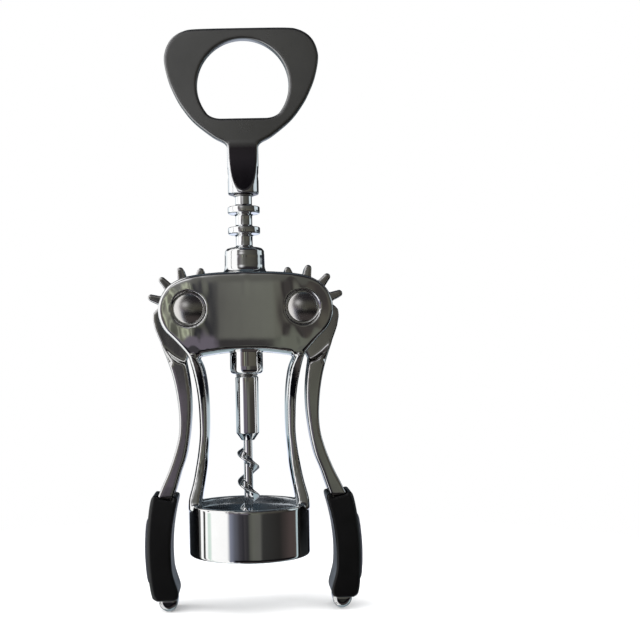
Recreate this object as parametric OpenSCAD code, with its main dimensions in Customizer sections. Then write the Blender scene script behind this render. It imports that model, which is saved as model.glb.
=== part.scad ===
// Lever (wing) corkscrew: a die-cast frame that stands on the bottle, two
// geared wing levers, a round rack that slides in the frame and a spindle
// that turns inside the rack with the worm below and an opener head above.
// Frame of reference: +Z up along the spindle, X across the wings, Y front to
// back, origin on the axis in the bottom plane of the bell.

/* [Rack and pinions] */
// Pitch of the rack rings along the axis
rack_pitch = 6.4; // [6.2:0.05:6.6]
// Height of the top rack ring
rack_top_ring = 107; // [106.6:0.1:107.4]
// Radius of the rack rings
ring_r = 5.1; // [4.8:0.05:5.1]
// Thickness of a rack ring at its rim
ring_t = 2.1; // [1.6:0.1:2.2]
// Radius of the rack's core between its rings
core_r = 2.6; // [2.4:0.05:2.8]
// Distance of each wing pivot from the axis
pivot_x = 17.4; // [17.3:0.05:17.8]
// Height of the wing pivots
pivot_z = 76.2; // [76:0.1:76.4]
// Tip radius of a wing tooth
tooth_tip_r = 13.3; // [13.1:0.1:14]
// Thickness of a wing tooth
tooth_t = 2.1; // [1.6:0.1:2.2]
// Angle between wing teeth
tooth_step = 30; // [30:1:30]

/* [Wings] */
// Rest angle of the left wing, closing inwards
left_rest = 0.9; // [0:0.1:1.2]
// Rest angle of the right wing, opening outwards
right_rest = 0.9; // [0:0.1:1.2]
// Depth of a wing arm, front to back
arm_depth = 12.6; // [11:0.2:14]
// Depth of the geared hub, front to back
hub_depth = 9.6; // [9:0.1:9.6]
// Depth of a grip, front to back
grip_depth = 15; // [13:0.5:17]
// Radius of the pivot rivets
pin_r = 3; // [2.6:0.1:3.2]

/* [Frame] */
// Depth of the body, front to back
body_depth = 17.4; // [16.4:0.2:19]
// Depth of the gap between the body's two plates
cavity_depth = 10.6; // [10.6:0.1:10.8]
// Radius of the guide bore for the rack
guide_r = 5.2; // [5.2:0.01:5.25]
// Outer radius of the collar
collar_r = 6.2; // [6:0.05:6.6]
// Height of the collar's mouth
collar_top = 95.6; // [94:0.2:97]
// Outer radius of the bell
bell_r = 18.8; // [18.2:0.1:19]
// Height of the bell
bell_h = 15.7; // [15:0.1:16.5]
// Radius of the bell's bottle bore
bottle_r = 15.7; // [15.2:0.1:16]
// Length of the bottle bore
bottle_len = 9.1; // [8:0.1:9.1]
// Radius of the throat over the bottle's mouth
throat_r = 12.9; // [12:0.1:13.4]

/* [Spindle] */
// Thickness of the opener head's plate
head_t = 3.5; // [3:0.1:4.5]
// Radius of the opener hole
hole_r = 14.3; // [13:0.1:14.4]
// How far the opener hole's centre lies to the right of the axis
hole_x = 0.4; // [0:0.1:0.6]
// Height of the opener hole's centre
hole_z = 146; // [145.5:0.1:146.5]
// Height of the opener hole's straight edge
hook_z = 135.6; // [135:0.1:137]
// Radius of the stem under the head
stem_r = 4.8; // [4.4:0.05:5]
// Height of the stem's lower end
stem_z = 111.9; // [111.8:0.1:112.2]
// Radius of the rod through the rack
rod_r = 1.6; // [1.4:0.05:1.7]
// Radius of the rack's plain lower shank
shank_r = 5.12; // [4.8:0.02:5.12]
// Height of the plain shank's lower end
shank_z = 55.9; // [55.4:0.1:57]
// Radius of the worm socket
socket_r = 3.6; // [3.2:0.1:4]
// Height of the worm socket's lower end
socket_z = 35.3; // [34:0.1:38]
// Height of the worm's tip
worm_tip_z = 9.3; // [9.2:0.1:12]
// Radius of the worm's solid core
worm_core = 1.45; // [1.2:0.05:1.6]
// Outer radius of the worm's flight
worm_r = 3.6; // [3:0.1:4]
// Pitch of the worm
worm_pitch = 9; // [7:0.2:11]
// Hand of the worm: -1 left-handed, 1 right-handed
worm_hand = -1; // [-1, 1]

/* [Hidden] */

run = 0.05;                       // radial running clearance
n_rings = 7;
washer_t = 0.4;

steel = [0.72, 0.73, 0.75];
dark = [0.3, 0.3, 0.3];
black = [0.08, 0.08, 0.09];

// Catmull-Rom curve through a list of points, n steps between two of them
function cr_pt(a, b, c, d, t) =
    0.5 * (2 * b + (c - a) * t + (2 * a - 5 * b + 4 * c - d) * t * t
           + (3 * b - a - 3 * c + d) * t * t * t);
function cr(p, n = 4) = concat(
    [for (i = [0:len(p) - 2]) for (k = [0:n - 1])
        cr_pt(p[max(i - 1, 0)], p[i], p[i + 1], p[min(i + 2, len(p) - 1)], k / n)],
    [p[len(p) - 1]]);
function flip(p) = [for (i = [len(p) - 1:-1:0]) [-p[i][0], p[i][1]]];
function rev(p) = [for (i = [len(p) - 1:-1:0]) p[i]];
// Arc of a circle, for rounded corners of a turned profile
function arc(c, r, a0, a1, n = 6) =
    [for (k = [0:n]) c + r * [cos(a0 + (a1 - a0) * k / n), sin(a0 + (a1 - a0) * k / n)]];

// Extrude a shape drawn in X and Z by depth d, centred on Y = 0
module slab(d) { rotate([90, 0, 0]) translate([0, 0, -d / 2]) linear_extrude(d) children(); }
// Solid of revolution about +Y at (x, z)
module along_y(x, z, r, y0, y1) {
    translate([x, y0, z]) rotate([-90, 0, 0]) cylinder(r = r, h = y1 - y0, $fn = 64);
}

// ---------------------------------------------------------------- frame
// Right half of the body plate, from the top centre round to the leg
body_edge = cr([[0, 87.4], [9, 87.2], [17.5, 86.2], [22.4, 84.2], [25.2, 81.4],
                [26.6, 78], [26.8, 75], [26.2, 72.2], [24.8, 69.6], [22.4, 67.2],
                [19.8, 64.4], [17.8, 61.9]]);
// Underside of the body, from the leg to the centre
body_under = cr([[15.4, 61.2], [11.6, 61.9], [6, 62.6], [0, 62.8]]);
leg_out = cr([[17.8, 61.9], [16.7, 57.8], [15.7, 52.8], [15.1, 47.8], [14.85, 42.8],
              [14.8, 37.8], [15.3, 32.8], [16.1, 27.8], [17.1, 22.8], [18.4, 17.8], [18.5, 14.5]]);
leg_in = cr([[14.6, 14.5], [14.3, 17.8], [13.4, 22.8], [12.6, 27.8], [12.2, 32.8],
             [11.8, 37.8], [11.7, 42.8], [11.8, 47.8], [12.2, 52.8], [13.1, 57.8], [14.6, 61.2], [15.4, 62]]);

module body_plate() {
    right = concat(body_edge, body_under);
    polygon(concat(right, rev([for (p = concat(body_edge, body_under)) if (p[0] > 0) [-p[0], p[1]]])));
}
module leg_outline() { polygon(concat(leg_out, leg_in)); }
// Half depth of a leg against height
leg_side = cr([[8.6, 64], [8.5, 61.5], [7.2, 57], [6.1, 51], [5.6, 44], [5.6, 34],
               [6, 26], [7, 19.5], [7.8, 14]]);
module leg() {
    intersection() {
        slab(body_depth) leg_outline();
        rotate([90, 0, 90]) linear_extrude(30)
            polygon(concat(leg_side, rev([for (p = leg_side) [-p[0], p[1]]])));
    }
}
module bell_profile() {
    polygon(concat(
        [[bottle_r, 0.5], [bottle_r + 0.5, 0]],
        arc([bell_r - 0.8, 0.8], 0.8, -90, 0),
        arc([bell_r - 0.7, bell_h - 0.7], 0.7, 0, 90, 4),
        [[17.1, bell_h], [16.8, bell_h - 0.3], [16.7, 13.3], [throat_r + 0.3, 10.9],
         [throat_r, 10.6], [throat_r, bottle_len], [bottle_r, bottle_len]]));
}
module collar_profile() {
    polygon(concat([[0, 80], [8.3, 80], [8.3, 87.1], [7, 87.6], [6.5, 88.2], [collar_r + 0.05, 89.2], [collar_r, 92]],
        arc([collar_r - 0.8, collar_top - 2.6], 0.8, 0, 30, 2),
        arc([collar_r - 2.4, collar_top - 2.6], 2.6, 25, 72, 5),
        [[guide_r - 0.6, collar_top], [0, collar_top]]));
}
module frame() {
    color(dark) difference() {
        union() {
            difference() {
                slab(body_depth) body_plate();
                // the gap between the plates, swept by the hubs' teeth
                for (s = [-1, 1]) {
                    along_y(s * pivot_x, pivot_z, 14.4, -cavity_depth / 2, cavity_depth / 2);
                    translate([s * 12.9 - 4.1, -cavity_depth / 2, 61.2]) cube([8.2, cavity_depth, 5]);
                }
            }
            for (s = [0, 1]) mirror([s, 0, 0]) difference() {
                leg();
                translate([8, -cavity_depth / 2, 61.2]) cube([12, cavity_depth, 5]);
            }
            // collar, kept to the web between the two gaps
            difference() {
                rotate_extrude($fn = 96) collar_profile();
                for (s = [-1, 1])
                    along_y(s * pivot_x, pivot_z, 14.4, -20, 20);
            }
            rotate_extrude($fn = 128) bell_profile();
        }
        // guide bore for the rack, open to the gaps in its middle
        translate([0, 0, 60]) cylinder(r = guide_r, h = 40, $fn = 96);
        for (s = [-1, 1]) {
            along_y(s * pivot_x, pivot_z, pin_r, -20, 20);
            // shallow seats for the rivet's head and its cap
            along_y(s * pivot_x, pivot_z, 5.3, -body_depth / 2 - 1, -body_depth / 2 + 0.6);
            along_y(s * pivot_x, pivot_z, 5.3, body_depth / 2 - 0.6, body_depth / 2 + 1);
        }
    }
}

// ---------------------------------------------------------------- rivets
// Domed head of a rivet, its flat side at y = 0 and the dome towards -Y
module dome(r, h) {
    big = (r * r + h * h) / (2 * h);
    a = asin(r / big);
    rotate([90, 0, 0]) rotate_extrude($fn = 64)
        polygon(concat([[0, 0], [r, 0]], [for (k = [1:7]) [big * sin(a * (1 - k / 7)), 0.5 + big * cos(a * (1 - k / 7)) - (big - h)]]));
}
module pivot_rivet(s) {
    seat = -body_depth / 2 + 0.6;
    color(steel) union() {
        translate([s * pivot_x, seat, pivot_z]) dome(4.6, 1.5);
        along_y(s * pivot_x, pivot_z, pin_r, seat, -seat);
    }
}
module rivet_cap(s) {
    seat = body_depth / 2 - 0.6;
    color(steel) translate([s * pivot_x, seat, pivot_z]) mirror([0, 1, 0]) dome(4.6, 1.5);
}
module pivot_washers(s) {
    color(steel) for (t = [0, 1]) mirror([0, t, 0]) difference() {
        along_y(s * pivot_x, pivot_z, 5, -cavity_depth / 2, -cavity_depth / 2 + washer_t);
        along_y(s * pivot_x, pivot_z, pin_r + run, -8, 8);
    }
}

// ---------------------------------------------------------------- rack
function ring_profile(z) = [[core_r, z + 1.5], [core_r + 0.5, z + ring_t / 2 + 0.1], [ring_r - 0.3, z + ring_t / 2],
                            [ring_r, z + ring_t / 2 - 0.3], [ring_r, z - ring_t / 2 + 0.3],
                            [ring_r - 0.3, z - ring_t / 2], [core_r + 0.5, z - ring_t / 2 - 0.1], [core_r, z - 1.5]];
module rack_sleeve() {
    bore = rod_r + run;
    color(steel) rotate_extrude($fn = 96) polygon(concat(
        [[bore, stem_z - 0.6], [core_r, stem_z - 0.6]],
        [for (i = [0:n_rings - 1]) each ring_profile(rack_top_ring - i * rack_pitch)],
        [[core_r, 66.2], [core_r + 0.4, 65.9], [shank_r - 0.4, 65.5], [shank_r, 65.1]],
        rev(arc([shank_r - 1.4, shank_z + 1.4], 1.4, -90, 0)),
        [[bore, shank_z]]));
}
module thrust_washer_upper() {
    color(steel) translate([0, 0, stem_z - 0.6]) difference() {
        cylinder(r = 3.1, h = 0.55, $fn = 64);
        translate([0, 0, -1]) cylinder(r = rod_r + run, h = 3, $fn = 64);
    }
}
module thrust_washer_lower() {
    color(steel) translate([0, 0, shank_z - 0.5]) difference() {
        cylinder(r = 3.4, h = 0.5, $fn = 64);
        translate([0, 0, -1]) cylinder(r = rod_r + run, h = 3, $fn = 64);
    }
}

// ---------------------------------------------------------------- spindle
head_edge = cr([[0, 163.7], [13.8, 163.6], [17.9, 163], [21, 161.3], [23, 158.7], [24, 155.4],
                [23.9, 152.4], [22.9, 148], [21.3, 144], [19.1, 139.9], [15.2, 134.9],
                [9.3, 130.1], [5.7, 128.1], [4.8, 126.8]]);
module head_outline() {
    difference() {
        polygon(concat(head_edge, [[stem_r, 120]], rev([for (p = concat(head_edge, [[stem_r, 120]])) if (p[0] > 0) [-p[0], p[1]]])));
        translate([hole_x, 0]) intersection() {
            translate([0, hole_z]) circle(r = hole_r, $fn = 128);
            polygon([[-20, 170], [-20, hook_z + 1.6], [-10.7, hook_z + 1.3], [-9.9, hook_z + 0.5], [-8.4, hook_z],
                     [8.4, hook_z], [9.9, hook_z + 0.5], [10.7, hook_z + 1.3], [20, hook_z + 1.6], [20, 170]]);
        }
    }
}
// The cut that flattens the stem's front into a tongue: a large circle in Y and Z
tongue_r = 36.5;
module opener_handle() {
    color(dark) difference() {
        union() {
            slab(head_t) head_outline();
            difference() {
                translate([0, 0, stem_z]) cylinder(r = stem_r, h = 128.2 - stem_z, $fn = 96);
                for (s = [-1, 1]) {
                    translate([-10, s * (head_t / 2 + tongue_r), 127]) rotate([0, 90, 0])
                        cylinder(r = tongue_r, h = 20, $fn = 180);
                    translate([-10, s * (head_t / 2 + 5) - 5, 127]) cube([20, 10, 5]);
                }
            }
        }
        translate([0, 0, stem_z - 1]) cylinder(r = rod_r, h = 12.1, $fn = 64);
        translate([-10, 0, 117.5]) rotate([0, 90, 0]) cylinder(r = 1, h = 20, $fn = 48);
    }
}
module handle_pin() {
    color(steel) translate([-4.5, 0, 117.5]) rotate([0, 90, 0]) cylinder(r = 1, h = 9, $fn = 48);
}
module spindle_rod() {
    color(steel) difference() {
        translate([0, 0, 46]) cylinder(r = rod_r, h = 122.8 - 46, $fn = 64);
        translate([-10, 0, 117.5]) rotate([0, 90, 0]) cylinder(r = 1, h = 20, $fn = 48);
        translate([-10, 0, 50]) rotate([0, 90, 0]) cylinder(r = 0.9, h = 20, $fn = 48);
    }
}
module worm_socket() {
    top = shank_z - 0.55;
    color(steel) difference() {
        rotate_extrude($fn = 96) polygon([[0, socket_z], [socket_r - 1.5, socket_z], [socket_r, socket_z + 2.2],
            [socket_r, top - 0.5], [socket_r - 0.5, top], [0, top]]);
        translate([0, 0, 46]) cylinder(r = rod_r, h = 20, $fn = 64);
        translate([0, 0, socket_z - 1]) cylinder(r = worm_core, h = 46 - socket_z, $fn = 64);
        translate([-10, 0, 50]) rotate([0, 90, 0]) cylinder(r = 0.9, h = 20, $fn = 48);
    }
}
module socket_pin() {
    color(steel) translate([-3.4, 0, 50]) rotate([0, 90, 0]) cylinder(r = 0.9, h = 6.8, $fn = 48);
}

// Radius of the worm's surface at height z and angle a: a thin flight that
// winds round a solid core and runs out to a point at the tip
function smooth(t) = let(u = min(max(t, 0), 1)) u * u * (3 - 2 * u);
function worm_h(z, a) =
    let(ph = a / 360 - worm_hand * (z - worm_tip_z + 0.5) / worm_pitch + 0.5,
        d = abs(ph - floor(ph) - 0.5) * 2,
        up = smooth((z - worm_tip_z) / 7),
        top = smooth((socket_z - 1 - z) / 3),
        c = worm_core * (0.12 + 0.88 * smooth((z - worm_tip_z) / 5)),
        fl = pow(max(1 - d / 0.42, 0), 0.9))
    c + (worm_r - worm_core) * fl * up * top;
worm_n = 60;
worm_m = 24;
module worm() {
    shank_top = 44.9;
    z0 = worm_tip_z + 0.25;
    zs = concat([for (i = [0:worm_n]) z0 + (socket_z - z0) * i / worm_n], [shank_top]);
    n = len(zs) - 1;
    pts = concat(
        [for (z = zs) for (j = [0:worm_m - 1]) let(a = 360 * j / worm_m, r = worm_h(z, a)) [r * cos(a), r * sin(a), z]],
        [[0, 0, worm_tip_z], [0, 0, shank_top]]);
    lo = (n + 1) * worm_m;
    faces = concat(
        [for (i = [0:n - 1]) for (j = [0:worm_m - 1]) let(k = (j + 1) % worm_m)
            [i * worm_m + j, (i + 1) * worm_m + j, (i + 1) * worm_m + k]],
        [for (i = [0:n - 1]) for (j = [0:worm_m - 1]) let(k = (j + 1) % worm_m)
            [i * worm_m + j, (i + 1) * worm_m + k, i * worm_m + k]],
        [for (j = [0:worm_m - 1]) [lo, j, (j + 1) % worm_m]],
        [for (j = [0:worm_m - 1]) [lo + 1, n * worm_m + (j + 1) % worm_m, n * worm_m + j]]);
    color(steel) polyhedron(points = pts, faces = faces, convexity = 8);
}

// ---------------------------------------------------------------- wings
// The wing is drawn on the right side, at its mean rest position
arm_out = cr([[28.7, 73.2], [28.1, 70.3], [27.2, 67.8], [26.1, 65], [24.4, 60.3], [23, 55.3], [22.1, 50.3],
              [21.6, 45.3], [21.5, 41.5], [21.8, 37.8], [22.7, 34], [23.9, 30.3], [25.6, 26], [27.5, 22], [29.3, 18]]);
arm_in = cr([[24.2, 18], [23, 21.5], [21.6, 26], [20, 30.3], [18.9, 35.3], [18.2, 40.3], [17.8, 45.3], [17.8, 50.3],
             [18.2, 55], [18.8, 59]]);
grip_out = cr([[30.3, 19.3], [31, 18.3], [31.5, 16.3], [32, 13.2], [32.5, 9], [32.8, 4], [32.8, -1], [32.6, -5],
               [32.3, -8.6], [31.8, -11.4], [31.3, -12.5], [30.3, -13.1]]);
grip_in = cr([[25.2, -13.1], [24, -12.6], [23.5, -11.4], [23.6, -10], [24.3, -7.6], [25, -5], [25.3, -2], [25.3, 3],
              [24.8, 8.5], [23.9, 13.4], [23, 17], [22.9, 18.2], [23.3, 18.7]]);
tang_out = cr([[29.3, 18], [29.9, 12], [30.4, 6], [30.5, 0], [30.2, -6], [29.2, -14]]);
tang_in = cr([[25.6, -14], [26.4, -8], [27, -3], [27.1, 2], [26.7, 8], [25.6, 13.4], [24.2, 18]]);

module tooth(a) {
    translate([pivot_x, pivot_z]) rotate(a) {
        polygon([[8, -1.5], [tooth_tip_r - 1.6, -tooth_t / 2], [tooth_tip_r - tooth_t / 2, -tooth_t / 2],
                 [tooth_tip_r - tooth_t / 2, tooth_t / 2], [tooth_tip_r - 1.6, tooth_t / 2], [8, 1.5]]);
        translate([tooth_tip_r - tooth_t / 2, 0]) circle(r = tooth_t / 2, $fn = 32);
    }
}
module wing_solid() {
    difference() {
        union() {
            // geared hub
            along_y(pivot_x, pivot_z, 9.3, -hub_depth / 2, hub_depth / 2);
            slab(hub_depth) for (k = [0:6]) tooth(19 + k * tooth_step);
            // root of the arm, as thin as the hub
            slab(hub_depth) polygon(concat(
                [[26, 77.2], [27.5, 76.5], [28.6, 75.2]], [for (p = arm_out) if (p[1] > 58) p],
                [[18.9, 58.4], [19, 60.4], [17.7, 63.1], [14.6, 67.5], [17.4, 72]]));
            // arm, thicker than the hub below its shoulder
            slab(arm_depth) polygon(concat([for (p = arm_out) if (p[1] < 65.9) p], arm_in,
                [[19, 60.1], [20.7, 60.9], [22.9, 62.4], [24.8, 64.2]]));
            // tang inside the grip, and the end that shows below it
            slab(7) polygon(concat(tang_out, tang_in));
            slab(8.4) polygon([[24, -13.12], [29.9, -13.12], [29.9, -14.4], [29.4, -15.6], [28.5, -16.5], [27.3, -17], [26.1, -16.9],
                               [25, -16.3], [24.2, -15.3], [24, -14.2]]);
        }
        along_y(pivot_x, pivot_z, pin_r + run, -20, 20);
    }
}
module pad_outline(g = 0) {
    // strip let into the grip's outer face and a little proud of it
    polygon(cr(concat([[31.2, 12 + g]], [[32.5, 11.9 + g], [33.2, 8.5], [33.6, 2], [33.4, -4], [32.8, -7.6 - g]],
            [[31.4, -7.8 - g], [31.7, -4], [31.9, 2], [31.7, 8], [31.2, 12 + g]]), 2));
}
module wing_grip() {
    difference() {
        slab(grip_depth) polygon(concat(grip_out, grip_in));
        slab(7.04) polygon(concat([[29.3, 20.5]], tang_out, tang_in, [[24.2, 20.5]]));
        // mouth around the arm's end, its front and back rims cut a little lower
        slab(arm_depth + 0.04) polygon([[23.95, 17.6], [29.6, 17.6], [29.6, 21], [21, 21]]);
        slab(20) polygon([[24.3, 21], [24.3, 17.75], [24.6, 17.5], [28.8, 18.5], [29.1, 18.8], [29.1, 21]]);
        slab(9) pad_outline();
    }
}
module wing_pad() { slab(9) pad_outline(); }
// Turn the wing about its pivot, closing for a positive angle
module closed_by(a) { translate([pivot_x, 0, pivot_z]) rotate([0, a, 0]) translate([-pivot_x, 0, -pivot_z]) children(); }

module lever_right() { color(dark) closed_by(-right_rest) wing_solid(); }
module lever_left() { color(dark) mirror([1, 0, 0]) closed_by(left_rest) wing_solid(); }
module grip_right() { color(black) closed_by(-right_rest) wing_grip(); }
module grip_left() { color(black) mirror([1, 0, 0]) closed_by(left_rest) wing_grip(); }
module grip_pad_right() { color(black) closed_by(-right_rest) wing_pad(); }
module grip_pad_left() { color(black) mirror([1, 0, 0]) closed_by(left_rest) wing_pad(); }

frame();
pivot_rivet(-1);  // pivot_rivet_left
pivot_rivet(1);  // pivot_rivet_right
rivet_cap(-1);  // rivet_cap_left
rivet_cap(1);  // rivet_cap_right
pivot_washers(-1);  // pivot_washers_left
pivot_washers(1);  // pivot_washers_right
rack_sleeve();
thrust_washer_upper();
thrust_washer_lower();
opener_handle();
handle_pin();
spindle_rod();
worm_socket();
socket_pin();
worm();
lever_left();
lever_right();
grip_left();
grip_right();
grip_pad_left();
grip_pad_right();
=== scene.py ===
import math
import bpy
import numpy as np
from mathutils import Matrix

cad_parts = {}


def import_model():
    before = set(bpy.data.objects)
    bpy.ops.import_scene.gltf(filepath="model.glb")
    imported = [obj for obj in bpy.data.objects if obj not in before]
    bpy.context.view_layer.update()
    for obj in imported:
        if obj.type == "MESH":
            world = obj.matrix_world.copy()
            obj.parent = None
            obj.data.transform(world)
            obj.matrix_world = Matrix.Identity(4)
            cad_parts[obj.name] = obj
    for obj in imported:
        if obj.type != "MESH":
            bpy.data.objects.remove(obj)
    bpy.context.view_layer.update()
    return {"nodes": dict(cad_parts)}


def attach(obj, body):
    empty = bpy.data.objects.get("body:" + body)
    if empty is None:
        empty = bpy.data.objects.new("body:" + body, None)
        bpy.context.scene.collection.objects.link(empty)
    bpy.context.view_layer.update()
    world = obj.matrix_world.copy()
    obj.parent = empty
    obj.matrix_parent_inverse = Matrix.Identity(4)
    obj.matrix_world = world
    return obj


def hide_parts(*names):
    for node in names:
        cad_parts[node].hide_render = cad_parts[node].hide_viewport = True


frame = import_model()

# Lever corkscrew. Every visible piece is meshed here from the same millimetre
# outlines as the CAD part: castings as smooth distance fields with real edge
# radii and fillets, turned pieces as fine lathe work.
nodes = frame["nodes"]
MM = 0.001
HALF_PI = math.pi / 2


# ---------------------------------------------------------------- outlines
def cr(p, n=8):
    """Catmull-Rom curve through the points of p."""
    p = [np.array(q, float) for q in p]
    out = []
    for i in range(len(p) - 1):
        a, b, c, d = p[max(i - 1, 0)], p[i], p[i + 1], p[min(i + 2, len(p) - 1)]
        for k in range(n):
            t = k / n
            out.append(0.5 * (2 * b + (c - a) * t + (2 * a - 5 * b + 4 * c - d) * t * t + (3 * b - a - 3 * c + d) * t ** 3))
    out.append(p[-1])
    return np.array(out)


def arc(cx, cy, r, a0, a1, n=8):
    t = np.radians(np.linspace(a0, a1, n + 1))
    return np.stack([cx + r * np.cos(t), cy + r * np.sin(t)], 1)


def mirrored(half):
    """Closes an outline given by its right half, from top centre to bottom centre."""
    half = np.array(half, float)
    left = half[half[:, 0] > 1e-9][::-1] * [-1, 1]
    return np.concatenate([half, left])


def join(*parts):
    return np.concatenate([np.array(p, float).reshape(-1, 2) for p in parts])


def segment_distance(px, py, pts):
    """Signed distance from points to a closed polygon, negative inside."""
    d2 = np.full(px.shape, 1e9)
    inside = np.zeros(px.shape, bool)
    n = len(pts)
    for i in range(n):
        ax, ay = pts[i]
        bx, by = pts[(i + 1) % n]
        ex, ey = bx - ax, by - ay
        ll = ex * ex + ey * ey
        if ll < 1e-12:
            continue
        t = np.clip(((px - ax) * ex + (py - ay) * ey) / ll, 0, 1)
        dx, dy = px - ax - t * ex, py - ay - t * ey
        np.minimum(d2, dx * dx + dy * dy, out=d2)
        if ay != by:
            c = (ay > py) != (by > py)
            inside ^= c & (px < ex * (py - ay) / ey + ax)
    return np.where(inside, -1, 1) * np.sqrt(d2)


class Field:
    """The signed distance to a closed outline, on a fine grid, softened a little so that its short edges don't show."""

    def __init__(self, pts, res=0.2, pad=6.0, soft=2):
        pts = np.array(pts, float)
        self.lo = pts.min(0) - pad
        n = np.ceil((pts.max(0) + pad - self.lo) / res).astype(int) + 1
        gx = self.lo[0] + np.arange(n[0]) * res
        gy = self.lo[1] + np.arange(n[1]) * res
        g = segment_distance(*np.meshgrid(gx, gy, indexing="ij"), pts)
        for _ in range(soft):
            g[1:-1] = 0.25 * g[:-2] + 0.5 * g[1:-1] + 0.25 * g[2:]
            g[:, 1:-1] = 0.25 * g[:, :-2] + 0.5 * g[:, 1:-1] + 0.25 * g[:, 2:]
        self.g, self.res, self.n = g, res, n

    def __call__(self, x, y):
        u = (x - self.lo[0]) / self.res
        v = (y - self.lo[1]) / self.res
        uc = np.clip(u, 0, self.n[0] - 1.001)
        vc = np.clip(v, 0, self.n[1] - 1.001)
        i = uc.astype(int)
        j = vc.astype(int)
        fu, fv = uc - i, vc - j
        i, j = np.broadcast_arrays(i, j)
        g = self.g
        d = (g[i, j] * (1 - fu) * (1 - fv) + g[i + 1, j] * fu * (1 - fv) + g[i, j + 1] * (1 - fu) * fv + g[i + 1, j + 1] * fu * fv)
        return d + self.res * (np.abs(u - uc) + np.abs(v - vc))


# ---------------------------------------------------------------- solids
def smin(a, b, k):
    h = np.clip(0.5 + 0.5 * (b - a) / k, 0, 1)
    return b + (a - b) * h - k * h * (1 - h)


def smax(a, b, k):
    return -smin(-a, -b, k)


def corner(a, b, r):
    """The solid where both distances are negative, its edge rounded to r."""
    qa, qb = a + r, b + r
    return np.minimum(np.maximum(qa, qb), 0) + np.sqrt(np.maximum(qa, 0) ** 2 + np.maximum(qb, 0) ** 2) - r


def bevelled(a, b, c, r):
    """The same with a flat bevel of width c, and the bevel's own edges rounded to r."""
    return smax(corner(a, b, r), (a + b + c) * 0.7071, r)


def surface(f, lo, hi, h, steps=3):
    """The zero surface of f as a closed quad mesh: one vertex a crossed cell, moved onto the surface."""
    lo, hi = np.array(lo, float), np.array(hi, float)
    n = np.ceil((hi - lo) / h).astype(int) + 1
    ax = [lo[i] + np.arange(n[i]) * h for i in range(3)]
    v = np.empty(n, np.float32)
    step = max(1, int(3e6 / (n[0] * n[1])))
    for k in range(0, n[2], step):
        v[:, :, k:k + step] = f(ax[0][:, None, None], ax[1][None, :, None], ax[2][None, None, k:k + step])
    s = v < 0
    for face in (s[0], s[-1], s[:, 0], s[:, -1], s[:, :, 0], s[:, :, -1]):
        assert not face.any(), "the solid reaches its grid's edge"
    c = [s[a:n[0] - 1 + a, b:n[1] - 1 + b, d:n[2] - 1 + d] for a in (0, 1) for b in (0, 1) for d in (0, 1)]
    total = sum(x.astype(np.int8) for x in c)
    cells = np.argwhere((total > 0) & (total < 8))
    index = np.full(total.shape, -1, np.int64)
    index[tuple(cells.T)] = np.arange(len(cells))
    corners = [(a, b, d) for a in (0, 1) for b in (0, 1) for d in (0, 1)]
    vals = np.stack([v[cells[:, 0] + a, cells[:, 1] + b, cells[:, 2] + d] for a, b, d in corners], 1).astype(float)
    pos, cnt = np.zeros((len(cells), 3)), np.zeros(len(cells))
    for p in range(8):
        for q in range(p + 1, 8):
            if sum(abs(corners[p][i] - corners[q][i]) for i in range(3)) != 1:
                continue
            m = (vals[:, p] < 0) != (vals[:, q] < 0)
            t = vals[m, p] / (vals[m, p] - vals[m, q])
            cp, cq = np.array(corners[p], float), np.array(corners[q], float)
            pos[m] += cp + t[:, None] * (cq - cp)
            cnt[m] += 1
    pts = lo + (cells + pos / cnt[:, None]) * h
    start = pts.copy()
    e = h * 0.12
    for _ in range(steps):
        x, y, z = pts.T
        d = f(x, y, z)
        g = np.stack([f(x + e, y, z) - f(x - e, y, z), f(x, y + e, z) - f(x, y - e, z), f(x, y, z + e) - f(x, y, z - e)], 1) / (2 * e)
        gg = np.maximum((g * g).sum(1), 0.3)
        pts = pts - (d / gg)[:, None] * g
        move = pts - start
        far = np.linalg.norm(move, axis=1)
        pts = start + move * np.minimum(1, 0.9 * h / np.maximum(far, 1e-9))[:, None]
    quads = []
    for axis in range(3):
        o1, o2 = (axis + 1) % 3, (axis + 2) % 3
        a = [slice(1, -1)] * 3
        a[axis] = slice(0, -1)
        b = list(a)
        b[axis] = slice(1, None)
        sa, sb = s[tuple(a)], s[tuple(b)]
        for cond, turn in ((sa & ~sb, False), (~sa & sb, True)):
            at = np.argwhere(cond)
            at[:, o1] += 1
            at[:, o2] += 1
            ring = []
            for d1, d2 in ((1, 1), (0, 1), (0, 0), (1, 0)):
                w = at.copy()
                w[:, o1] -= d1
                w[:, o2] -= d2
                ring.append(index[tuple(w.T)])
            ring = np.stack(ring, 1)
            quads.append(ring[:, ::-1] if turn else ring)
    return pts, np.concatenate(quads)


def make(name, pts, faces, smooth=True):
    """A mesh object from points in millimetres."""
    me = bpy.data.meshes.new(name)
    pts = np.asarray(pts, float) * MM
    if isinstance(faces, np.ndarray):
        k = faces.shape[1]
        me.vertices.add(len(pts))
        me.vertices.foreach_set("co", pts.astype(np.float32).ravel())
        me.loops.add(faces.size)
        me.loops.foreach_set("vertex_index", faces.astype(np.int32).ravel())
        me.polygons.add(len(faces))
        me.polygons.foreach_set("loop_start", np.arange(0, faces.size, k, dtype=np.int32))
        me.update(calc_edges=True)
    else:
        me.from_pydata(pts.tolist(), [], faces)
    me.validate()
    me.polygons.foreach_set("use_smooth", [smooth] * len(me.polygons))
    me.update()
    o = bpy.data.objects.new(name, me)
    bpy.context.scene.collection.objects.link(o)
    return o


def solid(name, f, lo, hi, h):
    return make(name, *surface(f, lo, hi, h))


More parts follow.
